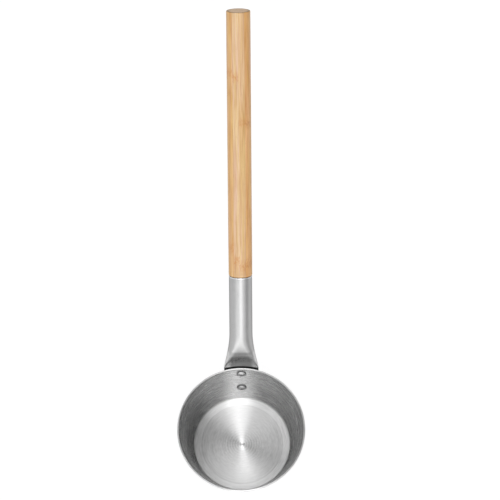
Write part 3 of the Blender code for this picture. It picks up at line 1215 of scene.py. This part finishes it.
@dataclass
class Cup:
    """The spun cup, one sheet of aluminium from the floor to the lip."""

    wall: Wall
    ring_width: float = 0.0058
    ring_slope: float = math.radians(8.0)
    cove: tuple[Range, ...] = ((0.0022, math.radians(8.0)), (0.0018, math.radians(16.0)))
    cove_edge: float = math.radians(25.0)
    fillet: float = 0.002
    fillet_steps: int = 10
    lip_rounding: float = 0.0006
    lip_steps: int = 8
    grooves: tuple[float, ...] = (0.0340, 0.0318)
    groove_width: float = 0.0003
    groove_depth: float = 0.00005
    pip: tuple[Range, ...] = ((0.0012, 0.0), (0.0006, 0.0), (0.0004, -0.00002), (0.0002, -0.00004))
    steps: int = 256
    finish: TurnedAluminium = TurnedAluminium()

    def __post_init__(self) -> None:
        """Find how wide the flat of the floor is inside its sloped ring."""
        self.across = self.wall.thickness / math.cos(self.wall.taper)
        self.flat_radius = self.wall.radius(self.wall.thickness) - self.across - self.ring_width

    def build(self) -> Workpiece:
        """Raise the cup from a cone: sink its inside, round its corners, turn its floor.

        Returns:
            The cup, with no holes yet.
        """
        wall, across = self.wall, self.across
        cove = self.cove_rings()
        floor, floor_height = cove[-1]
        base, base_height = self.base_corner()
        piece = Workpiece.start(
            "spun_cup",
            bpy.ops.mesh.primitive_cone_add,
            vertices=self.steps,
            radius1=wall.radius(0),
            radius2=wall.rim_radius,
            depth=wall.height,
            location=(0, 0, wall.height / 2),
        )
        piece.open()
        piece.pick_disc(0)
        piece.shift((0, 0, base_height))
        piece.scale(base / wall.radius(0))
        piece.inset(base - self.flat_radius, -base_height)
        piece.pick_disc(wall.height)
        piece.inset(across)
        piece.extrude((0, 0, floor_height - wall.height))
        piece.scale(floor / (wall.rim_radius - across))
        for (outer, high), (inner, low) in zip(cove[:0:-1], cove[-2::-1]):
            piece.inset(outer - inner, low - high)

        steep = math.tan((math.pi / 2 - wall.taper) / 2)
        blunt = math.tan((math.pi / 2 + wall.taper) / 2)
        inside = math.tan((math.pi / 2 - wall.taper - self.cove_edge) / 2)
        outside = math.tan((math.pi / 2 - wall.taper - self.ring_slope) / 2)
        piece.round_ring(floor, floor_height, self.fillet * inside, self.fillet_steps)
        piece.round_ring(base, base_height, (self.fillet + wall.thickness) * outside, self.fillet_steps)
        piece.round_ring(wall.rim_radius, wall.height, self.lip_rounding * blunt, self.lip_steps)
        piece.round_ring(wall.rim_radius - across, wall.height, self.lip_rounding * steep, self.lip_steps)

        self.turn_face(piece, wall.thickness, 1)
        self.turn_face(piece, 0, -1)
        piece.close()
        return piece

    def base_corner(self) -> Range:
        """Radius and height at which the sloped ring under the base meets the outer wall.

        Returns:
            The radius and the height.
        """
        lean, slope = math.tan(self.wall.taper), math.tan(self.ring_slope)
        width = (self.wall.radius(0) - self.flat_radius) / (1 - lean * slope)
        return self.flat_radius + width, width * slope

    def cove_rings(self) -> list[Range]:
        """Radius and height of each ring of the cove round the floor, from the flat out to the wall.

        Returns:
            The radius and the height of each.
        """
        radius, height = self.flat_radius, self.wall.thickness
        rings = [(radius, height)]
        for width, slope in self.cove:
            radius, height = radius + width, height + width * math.tan(slope)
            rings.append((radius, height))
        lean, slope = math.tan(self.wall.taper), math.tan(self.cove_edge)
        width = (self.wall.radius(height) - self.across - radius) / (1 - lean * slope)
        return rings + [(radius + width, height + width * slope)]

    def turn_face(self, piece: Workpiece, height: float, up: int) -> None:
        """Turn the floor or the underside: shallow rings and the pip where the lathe held it.

        Args:
            piece: The cup under the tools.
            height: Height of the face.
            up: 1 for a face that looks up and -1 for one that looks down.
        """
        piece.pick_disc(height)
        here = self.flat_radius
        rings = [(self.groove_width + groove, 0.0) for groove in self.grooves]
        for groove in self.grooves:
            w, d = self.groove_width, self.groove_depth
            rings += [(groove + w / 2, -d), (groove - w / 2, 0.0), (groove - w, d)]
        rings = sorted(rings + list(self.pip), reverse=True)
        for there, rise in rings:
            piece.inset(here - there, up * rise)
            here = there

    def dress(self, piece: Workpiece) -> None:
        """Smooth and finish the cup."""
        finish = self.finish.material(self.wall.height, self.wall.rim_radius, self.flat_radius)
        piece.settle(finish, "cup")


@dataclass
class Neck:
    """A round tube whose lower end is pressed flat, bent down the wall and riveted to it."""

    wall: Wall
    tube_radius: float = 0.0098
    tube_wall: float = 0.0012
    press_length: float = 0.032
    press_softening: float = 0.08
    round_length: float = 0.0506
    knee_rise: float = 0.0044
    bend_radius: float = 0.027
    rise: float = math.radians(36.0)
    reach: float = 0.0387
    tongue_corner: float = 0.0105
    tongue_edge: float = 0.0004
    mouth_chamfer: float = 0.0003
    bore_chamfer: float = 0.0001
    slot_half: float = 0.0005
    fit: float = 0.0003
    points: int = 160
    crowding: float = 0.6
    edge_steps: int = 4
    corner_steps: int = 22
    tongue_steps: int = 6
    press_steps: int = 84
    tube_steps: int = 10
    bore_stride: int = 4
    crease: float = math.radians(45.0)
    finish: SatinAluminium = SatinAluminium()

    def __post_init__(self) -> None:
        """Work out the neck's centre line: up the wall, round the knee, along the handle."""
        self.wall_angle = math.pi / 2 - self.wall.taper
        self.bend = self.wall_angle - self.rise
        tangent = self.bend_radius * math.tan(self.bend / 2)
        self.start = self.wall.point(self.reach, -self.fit - self.tube_wall)
        self.lower = self.reach + self.knee_rise / math.cos(self.wall.taper) - tangent
        self.arc = self.bend_radius * self.bend
        self.round_from = self.reach + self.press_length
        self.length = self.round_from + self.round_length

    def line(self, s: float) -> tuple[Vector, Vector, Vector]:
        """The centre line at a length from the tongue's end.

        Args:
            s: Length along the line.

        Returns:
            The point there, the direction and the upper normal.
        """
        angle = self.wall_angle - self.bend * min(max((s - self.lower) / self.arc, 0), 1)
        ahead = Vector((0, math.cos(self.wall_angle), math.sin(self.wall_angle)))
        point = self.start + ahead * min(s, self.lower)
        if s > self.lower:
            centre = point + self.bend_radius * Vector((0, ahead.z, -ahead.y))
            point = centre + self.bend_radius * Vector((0, -math.sin(angle), math.cos(angle)))
        direction = Vector((0, math.cos(angle), math.sin(angle)))
        if s > self.lower + self.arc:
            point = point + direction * (s - self.lower - self.arc)
        return point, direction, Vector((0, -direction.z, direction.y))

    def opened(self, s: float) -> float:
        """How far the tube is open: 0 where it is pressed flat, 1 where it is round.

        Args:
            s: Length from the tongue's end.

        Returns:
            The share that it is open.
        """
        u = min(max((s - self.reach) / self.press_length, 0), 1)
        soft = self.press_softening
        eased = (math.hypot(u, soft) - soft) / (math.hypot(1, soft) - soft)
        return math.sin(math.pi / 2 * eased)

    def half_thickness(self, s: float) -> float:
        """Half the tube's outer thickness."""
        return self.tube_wall + (self.tube_radius - self.tube_wall) * self.opened(s)

    def bow(self, s: float, x: float) -> float:
        """How far a section leans round the cup, fading out where the tube is round.

        Args:
            s: Length from the tongue's end.
            x: Distance from the middle plane.

        Returns:
            The lean, along the normal.
        """
        z = min(self.line(s)[0].z, self.wall.height)
        radius = self.wall.radius(z) / math.cos(self.wall.taper) + self.fit + self.tube_wall
        return (1 - self.opened(s)) * (radius - math.sqrt(radius**2 - x**2))

    def trimmed(self, s: float) -> float:
        """What the rounded corners of the tongue's end take off each side."""
        left = max(self.tongue_corner - s, 0)
        return self.tongue_corner - math.sqrt(self.tongue_corner**2 - left**2)

    @staticmethod
    def outline(straight: float, radius: float, share: float) -> Range:
        """A point of a flat-sided round section.

        Args:
            straight: Length of the flat sides.
            radius: Radius of the round ends.
            share: Share of the outline passed, from the +x end.

        Returns:
            The point across and along the normal.
        """
        quarter = math.pi * radius / 2
        along = share * (2 * straight + 4 * quarter)
        for begin, centre in ((0, straight / 2), (math.pi / 2, -straight / 2), (1.5 * math.pi, straight / 2)):
            arc = 2 * quarter if begin == math.pi / 2 else quarter
            if along <= arc:
                angle = begin + along / radius
                return centre + radius * math.cos(angle), radius * math.sin(angle)
            along -= arc
            if along <= straight and begin < math.pi:
                side = 1 if begin == 0 else -1
                return side * (straight / 2 - along), side * radius
            along -= straight
        return straight / 2 + radius, 0.0

    def section(self, s: float, inset: float, at: float, share: float) -> Vector:
        """A point of the tube's section at s, drawn in by inset and set at a length of the line.

        Args:
            s: Length that gives the section its form.
            inset: How far the outline is drawn in.
            at: Length that the section is set at.
            share: Share of the outline passed.

        Returns:
            The point.
        """
        thickness = self.half_thickness(s)
        straight = max(math.pi * (self.tube_radius - thickness) - 2 * self.trimmed(s), 0)
        point, _, normal = self.line(at)
        x, n = self.outline(straight, thickness - inset, share)
        return point + Vector((x, 0, 0)) + normal * (n + self.bow(s, x))

    def rings(self) -> list[Point]:
        """The sections in order, as length, inset and place: up the outside, then down the bore.

        Returns:
            What section() takes for each, apart from the share.
        """

        def shares(count: int) -> list[float]:
            """Even shares of a stretch, up to its end."""
            return [(k + 1) / count for k in range(count)]

        edge, corner, mouth, wall = self.tongue_edge, self.tongue_corner, self.mouth_chamfer, self.tube_wall
        quarter = [math.pi / 2 * share for share in shares(self.edge_steps)]
        rings = [(0.0, edge, 0.0)]
        rings += [(0.0, edge * (1 - math.sin(t)), edge * (1 - math.cos(t))) for t in quarter]
        stations = [corner * (1 - math.cos(math.pi / 2 * share)) for share in shares(self.corner_steps)]
        stations += [corner + (self.lower - corner) * share for share in shares(self.tongue_steps)]
        pressed = self.round_from - self.lower
        stations += [self.lower + pressed * share for share in shares(self.press_steps)]
        last = self.length - mouth
        inner = self.bore_chamfer
        straight = [self.round_from + (last - self.round_from) * share for share in shares(self.tube_steps)]
        rings += [(s, 0.0, s) for s in stations + straight if s > edge]
        rings += [(self.length, mouth * (1 - math.cos(t)), last + mouth * math.sin(t)) for t in quarter]
        rings.append((self.length, wall - inner, self.length))
        rings.append((self.length, wall, self.length - inner))
        bore = [s for s in stations[:: self.bore_stride] if self.half_thickness(s) - wall > self.slot_half]
        return rings + [(s, wall, s) for s in reversed(bore)]

    def build(self) -> Workpiece:
        """Draw the tube out ring by ring, and close both ends of the shell.

        Returns:
            The neck, with no holes yet.
        """
        add = bpy.ops.mesh.primitive_circle_add
        piece = Workpiece.start("pressed_neck", add, vertices=self.points, radius=self.tube_radius)
        piece.open()
        bpy.ops.mesh.select_all(action="SELECT")
        mesh = piece.mesh
        share, run = (mesh.verts.layers.float.new(name) for name in ("share", "run"))
        mesh.verts.ensure_lookup_table()
        for i, vertex in enumerate(mesh.verts):
            turn = 2 * math.pi * i / self.points
            vertex[share] = (turn - self.crowding * math.sin(2 * turn) / 2) / (2 * math.pi)
        piece.show()
        for count, (s, inset, at) in enumerate(self.rings()):
            if count:
                piece.extrude((0, 0, 0))
            mesh = piece.mesh
            share, run = (mesh.verts.layers.float[name] for name in ("share", "run"))
            for vertex in mesh.verts:
                if vertex.select:
                    vertex.co = self.section(s, inset, at, vertex[share])
                    vertex[run] = at
            piece.show()
        bpy.ops.mesh.edge_face_add()
        piece.pick_edges(lambda p: True, open_only=True)
        bpy.ops.mesh.edge_face_add()
        piece.close()
        return piece

    def dress(self, piece: Workpiece) -> None:
        """Smooth and finish the neck."""
        piece.settle(self.finish.material(self.reach, self.length), "neck", self.crease)


@dataclass
class BlindRivet:
    """A blind rivet through the wall and the tongue, with the stem that was pulled and broke off in it.

    The stem's torn end is given as shares of its radius, each with its height over the tear.
    """

    which: str
    wall: Wall
    drop: float
    tongue: float = 0.0024
    fit: float = 0.0003
    shank: float = 0.002
    head: float = 0.0041
    head_height: float = 0.0018
    head_edge: float = 0.0004
    head_rounding: float = 0.00012
    dome_steps: int = 12
    corner_rounding: float = 0.0001
    swell: float = 0.0031
    swell_length: float = 0.0034
    swell_rounding: float = 0.0009
    stem: float = 0.001
    stem_head: float = 0.0017
    stem_head_height: float = 0.0014
    stem_head_rounding: float = 0.0008
    stem_recess: float = 0.0004
    torn: tuple[Range, ...] = ((0.0, 0.0001), (0.4, 0.00004), (0.7, -0.00012), (1.0, -0.00022))
    drill_overrun: float = 0.004
    steps: int = 64
    finish: HeadedMetal = HeadedMetal("headed_aluminium", grey(0.54), grey(0.74), (0.42, 0.52))
    stem_finish: HeadedMetal = HeadedMetal("pulled_steel", grey(0.22), grey(0.44), (0.30, 0.50))

    def __post_init__(self) -> None:
        """Find the seat that clears the hollow wall, and where the stem's head sits."""
        self.point = self.wall.point(self.drop)
        self.turn = math.pi / 2 - self.wall.taper
        hollow = (self.wall.radius(self.point.z) - self.wall.thickness) / math.cos(self.wall.taper)
        self.seat = self.wall.thickness + self.fit + self.head**2 / (2 * hollow)
        self.swell_top = -self.tongue - 2 * self.fit
        self.swell_end = self.swell_top - self.swell_length
        self.stem_top = self.swell_end + self.stem_head_height

    def build_body(self) -> Workpiece:
        """Turn the rivet: its dome in the cup, its shank, and the swelled end behind the tongue.

        Returns:
            The rivet in its place.
        """
        bore = self.stem + self.fit
        top = self.seat + self.head_height
        dome_height = self.head_height - self.head_edge
        ball = (self.head**2 + dome_height**2) / (2 * dome_height)
        pocket = self.stem_head + self.fit
        corners = []
        for k in range(self.dome_steps + 1):
            r = bore + (self.head - bore) * k / self.dome_steps
            rounding = self.head_rounding if k in (0, self.dome_steps) else 0.0
            corners.append((r, top - ball + math.sqrt(ball**2 - r**2), rounding))
        corners += [
            (self.head, self.seat, self.corner_rounding),
            (self.shank, self.seat, 0),
            (self.shank, self.swell_top, 0),
            (self.swell, self.swell_top, self.swell_rounding),
            (self.swell, self.swell_end, self.swell_rounding),
            (pocket, self.swell_end, self.corner_rounding),
            (pocket, self.stem_top + self.fit, 0),
            (bore, self.stem_top + self.fit, 0),
        ]
        piece = Workpiece.lathe(f"{self.which}_blind_rivet", rounded(corners), self.steps, ring=True)
        piece.stand(self.point, self.turn)
        return piece

    def build_stem(self) -> Workpiece:
        """Turn the stem: a torn end in the dome and a round head in the swelled end.

        Returns:
            The stem in its place.
        """
        top = self.seat + self.head_height - self.stem_recess
        corners = [(share * self.stem, top + rise, 0) for share, rise in self.torn]
        corners += [
            (self.stem, self.stem_top, 0),
            (self.stem_head, self.stem_top, self.corner_rounding),
            (self.stem_head, self.swell_end, self.stem_head_rounding),
            (0, self.swell_end, 0),
        ]
        piece = Workpiece.lathe(f"{self.which}_pulled_stem", rounded(corners), self.steps)
        piece.stand(self.point, self.turn)
        return piece

    def build_drill(self) -> Workpiece:
        """The drill that clears the way through the wall and the tongue.

        Returns:
            The drill in its place.
        """
        low = -self.tongue - self.fit - self.drill_overrun
        high = self.wall.thickness + self.drill_overrun
        drill = Workpiece.cylinder(f"{self.which}_drill", self.shank + self.fit, low, high, self.steps)
        drill.stand(self.point, self.turn)
        return drill

    def dress(self, body: Workpiece, stem: Workpiece) -> None:
        """Smooth and finish the rivet and its stem.

        Args:
            body: The rivet.
            stem: Its stem.
        """
        bright = self.finish.material(self.point, self.turn, self.head)
        body.settle(bright, f"{self.which}_rivet")
        dull = self.stem_finish.material(self.point, self.turn, self.stem)
        stem.settle(dull, f"{self.which}_rivet_stem")


@dataclass
class Handle:
    """The turned bamboo rod, with a tenon in the neck's bore."""

    neck: Neck
    radius: float = 0.010
    length: float = 0.2269
    chamfer: float = 0.0008
    chamfer_steps: int = 3
    end_border: float = 0.0004
    shoulder_rounding: float = 0.0010
    shoulder_steps: int = 6
    tenon_end_gap: float = 0.010
    tenon_chamfer: float = 0.001
    fit: float = 0.0003
    steps: int = 160
    finish: LaminatedBamboo = LaminatedBamboo()

    def __post_init__(self) -> None:
        """Find the neck's mouth and the rod's lean."""
        self.mouth, self.along, _ = self.neck.line(self.neck.length)
        self.turn = self.neck.rise - math.pi / 2

    def build(self) -> Workpiece:
        """Turn the rod from a cylinder: draw out its tenon, then break its edges.

        Returns:
            The rod in its place, with no hole yet.
        """
        tenon = self.neck.tube_radius - self.neck.tube_wall - self.fit
        tenon_end = self.tenon_end_gap - self.neck.round_length
        piece = Workpiece.cylinder("bamboo_handle", self.radius, self.fit, self.length, self.steps)
        piece.open()
        piece.pick_disc(self.fit)
        piece.inset(self.radius - tenon)
        piece.extrude((0, 0, tenon_end - self.fit))
        piece.round_ring(tenon, tenon_end, self.tenon_chamfer, 1)
        piece.round_ring(self.radius, self.fit, self.shoulder_rounding, self.shoulder_steps)
        piece.round_ring(self.radius, self.length, self.chamfer, self.chamfer_steps)
        piece.pick_disc(self.length)
        piece.inset(self.end_border)
        piece.close()
        piece.stand(self.mouth, self.turn)
        return piece

    def dress(self, piece: Workpiece) -> None:
        """Smooth and finish the rod."""
        finish = self.finish.material(self.mouth, self.turn, self.radius)
        piece.settle(finish, "handle")


@dataclass
class HandleScrew:
    """The countersunk screw that holds the tenon from the neck's underside."""

    handle: Handle
    shank: float = 0.0015
    head: float = 0.0028
    head_rim: float = 0.0002
    head_rounding: float = 0.0001
    length: float = 0.0095
    setback: float = 0.018
    tip_length: float = 0.0012
    tip: float = 0.0009
    recess: Point = (0.0030, 0.0007, 0.0012)
    recess_taper: float = 0.45
    fit: float = 0.0003
    drill_overrun: float = 0.004
    steps: int = 64
    finish: HeadedMetal = HeadedMetal("plated_steel", grey(0.42), (0.58, 0.58, 0.59), (0.24, 0.36))

    def __post_init__(self) -> None:
        """Find the point of the handle's axis that the screw is driven at, and the screw's turn."""
        self.point = self.handle.mouth - self.handle.along * self.setback
        self.turn = self.handle.turn - math.pi / 2

    def corners(self, grow: float, overrun: float) -> list[Point]:
        """The screw's outline, grown all round, with its head drawn out at the top by overrun.

        Args:
            grow: How far it is grown.
            overrun: How far its head is drawn out.

        Returns:
            The corners, as rounded() takes them.
        """
        outside = self.handle.neck.tube_radius
        head, shank = self.head + grow, self.shank + grow
        rim_low = outside - self.head_rim - grow * math.tan(math.pi / 8)
        end = outside - self.length - grow
        return [
            (0, outside + overrun, 0),
            (head, outside + overrun, 0.0 if overrun else self.head_rounding),
            (head, rim_low, 0),
            (shank, rim_low - (head - shank), 0),
            (shank, end + self.tip_length, 0),
            (self.tip + grow, end, 0),
            (0, end, 0),
        ]

    def build(self) -> Workpiece:
        """Turn the screw and press the cross into its head.

        Returns:
            The screw in its place.
        """
        piece = Workpiece.lathe("neck_screw", rounded(self.corners(0, 0)), self.steps)
        long, wide, deep = self.recess
        top = self.handle.neck.tube_radius
        add = bpy.ops.mesh.primitive_cube_add
        downwards = -0.9
        for name, x, y in (("cross_arm", long, wide), ("cross_bar", wide, long)):
            arm = Workpiece.start(name, add, size=1, location=(0, 0, top), scale=(x, y, 2 * deep))
            arm.open()
            arm.pick_faces(lambda centre, normal: normal.z < downwards)
            arm.scale(self.recess_taper)
            arm.close()
            arm.drill(piece)
        piece.stand(self.point, self.turn)
        return piece

    def build_drill(self) -> Workpiece:
        """The drill that clears the screw's way.

        Returns:
            The drill in its place.
        """
        outline = rounded(self.corners(self.fit, self.drill_overrun))
        drill = Workpiece.lathe("screw_drill", outline, self.steps)
        drill.stand(self.point, self.turn)
        return drill

    def dress(self, piece: Workpiece) -> None:
        """Smooth and finish the screw."""
        piece.settle(self.finish.material(self.point, self.turn, self.head), "handle_screw")


# Studio


@dataclass(frozen=True)
class Softbox:
    """A flat soft lamp that faces the ladle: where it hangs, how wide it looks and how bright its cloth is.

    Angles are in degrees as seen from the ladle, the azimuth from +X towards +Y.
    """

    name: str
    azimuth: float
    elevation: float
    width: float
    height: float
    brightness: float

    def hang(self, middle: Vector, distance: float) -> None:
        """Hang the lamp at a distance from the middle of the ladle, upright and facing it.

        Args:
            middle: The ladle's middle.
            distance: How far off the lamp hangs.
        """
        clear_bench()
        turn, lift = math.radians(self.azimuth), math.radians(self.elevation)
        out = Vector((math.cos(turn) * math.cos(lift), math.sin(turn) * math.cos(lift), math.sin(lift)))
        bpy.ops.object.light_add(type="AREA", location=middle + distance * out)
        lamp = bpy.context.object
        lamp.name = lamp.data.name = self.name
        lamp.rotation_euler = (-out).to_track_quat("-Z", "Y").to_euler()
        lamp.data.shape = "RECTANGLE"
        lamp.data.size = 2 * distance * math.tan(math.radians(self.width) / 2)
        lamp.data.size_y = 2 * distance * math.tan(math.radians(self.height) / 2)
        lamp.data.energy = self.brightness * math.pi * lamp.data.size * lamp.data.size_y


@dataclass
class Studio:
    """The floor, the soft light and the camera."""

    middle: Point = (0.0, 0.18, 0.0)
    floor_size: float = 12.0
    floor_cuts: int = 5
    floor: PaleFloor = PaleFloor()
    room: Colour = (*grey(0.25), 1.0)
    light_middle: Point = (0.0, 0.05, 0.05)
    light_distance: float = 2.2
    softboxes: tuple[Softbox, ...] = (
        Softbox("front_box", 270.0, 21.0, 22.0, 36.0, 1.87),
        Softbox("upper_front_box", 270.0, 48.0, 22.0, 18.0, 2.3),
        Softbox("high_front_box", 276.0, 66.0, 22.0, 18.0, 3.7),
        Softbox("overhead_box", 270.0, 88.0, 22.0, 24.0, 4.6),
        Softbox("high_back_box", 90.0, 66.0, 22.0, 18.0, 0.6),
        Softbox("front_left_box", 239.5, 20.5, 37.0, 23.0, 2.2),
        Softbox("front_right_box", 302.0, 41.0, 40.0, 64.0, 0.96),
        Softbox("left_high_box", 180.0, 64.0, 40.0, 22.0, 2.4),
        Softbox("left_box", 180.0, 20.0, 40.0, 22.0, 0.47),
        Softbox("low_left_box", 207.0, 8.0, 26.0, 20.0, 0.85),
        Softbox("low_right_box", 335.0, 8.0, 26.0, 20.0, 0.22),
        Softbox("back_left_box", 135.0, 48.0, 36.0, 24.0, 0.54),
    )
    camera_place: Point = (0.03730, -0.57648, 2.11774)
    camera_azimuth: float = math.radians(2.328)
    camera_elevation: float = math.radians(70.347)
    camera_roll: float = math.radians(-2.394)
    camera_lens: float = 181.77
    camera_sensor: float = 36.0
    camera_range: float = 50.0

    def lay_floor(self) -> None:
        """Lay the floor under the cup."""
        clear_bench()
        bpy.ops.mesh.primitive_plane_add(size=self.floor_size, location=(0, 0, 0))
        ground = bpy.context.object
        ground.name = ground.data.name = "studio_floor"
        bpy.ops.object.mode_set(mode="EDIT")
        bpy.ops.mesh.subdivide(number_cuts=self.floor_cuts)
        bpy.ops.object.mode_set(mode="OBJECT")
        ground.data.materials.append(self.floor.material(Vector(self.middle)))

    def light(self) -> None:
        """Hang the softboxes in an evenly lit room."""
        for softbox in self.softboxes:
            softbox.hang(Vector(self.light_middle), self.light_distance)
        world = bpy.data.worlds.new("studio_room")
        world.use_nodes = True
        bpy.context.scene.world = world
        world.node_tree.nodes["Background"].inputs["Color"].default_value = self.room

    def aim_camera(self) -> None:
        """Set the camera where the picture was taken from."""
        clear_bench()
        az, el, roll = self.camera_azimuth, self.camera_elevation, self.camera_roll
        ahead = Vector((-math.sin(az) * math.cos(el), math.cos(az) * math.cos(el), -math.sin(el)))
        right = Vector((math.cos(az), math.sin(az), 0))
        up = right.cross(ahead)
        level_right = right * math.cos(roll) + up * math.sin(roll)
        level_up = up * math.cos(roll) - right * math.sin(roll)
        bpy.ops.object.camera_add(location=self.camera_place)
        camera = bpy.context.object
        camera.name = camera.data.name = "studio_camera"
        camera.rotation_euler = Matrix((level_right, level_up, -ahead)).transposed().to_euler()
        camera.data.sensor_width = self.camera_sensor
        camera.data.lens = self.camera_lens
        camera.data.clip_end = self.camera_range
        bpy.context.scene.camera = camera

    def set_up(self) -> None:
        """Make the studio ready."""
        self.lay_floor()
        self.light()
        self.aim_camera()
        bpy.context.scene.view_settings.view_transform = "Standard"
        LOG.info("studio: floor, %d softboxes, camera", len(self.softboxes))


def main() -> None:
    """Build every sub-assembly in order, dress it, and set up the studio."""
    logging.basicConfig(level=logging.INFO, format="%(name)s: %(message)s")
    wall = Wall()
    cup = Cup(wall)
    neck = Neck(wall)
    rivets = (BlindRivet("upper", wall, drop=0.0067), BlindRivet("lower", wall, drop=0.0297))
    handle = Handle(neck)
    screw = HandleScrew(handle)

    cup_piece = cup.build()
    neck_piece = neck.build()
    handle_piece = handle.build()
    for rivet in rivets:
        rivet.build_drill().drill(cup_piece, neck_piece)
        rivet.dress(rivet.build_body(), rivet.build_stem())
    screw.build_drill().drill(neck_piece, handle_piece)
    screw.dress(screw.build())
    cup.dress(cup_piece)
    neck.dress(neck_piece)
    handle.dress(handle_piece)

    Studio().set_up()


if __name__ == "__main__":
    main()
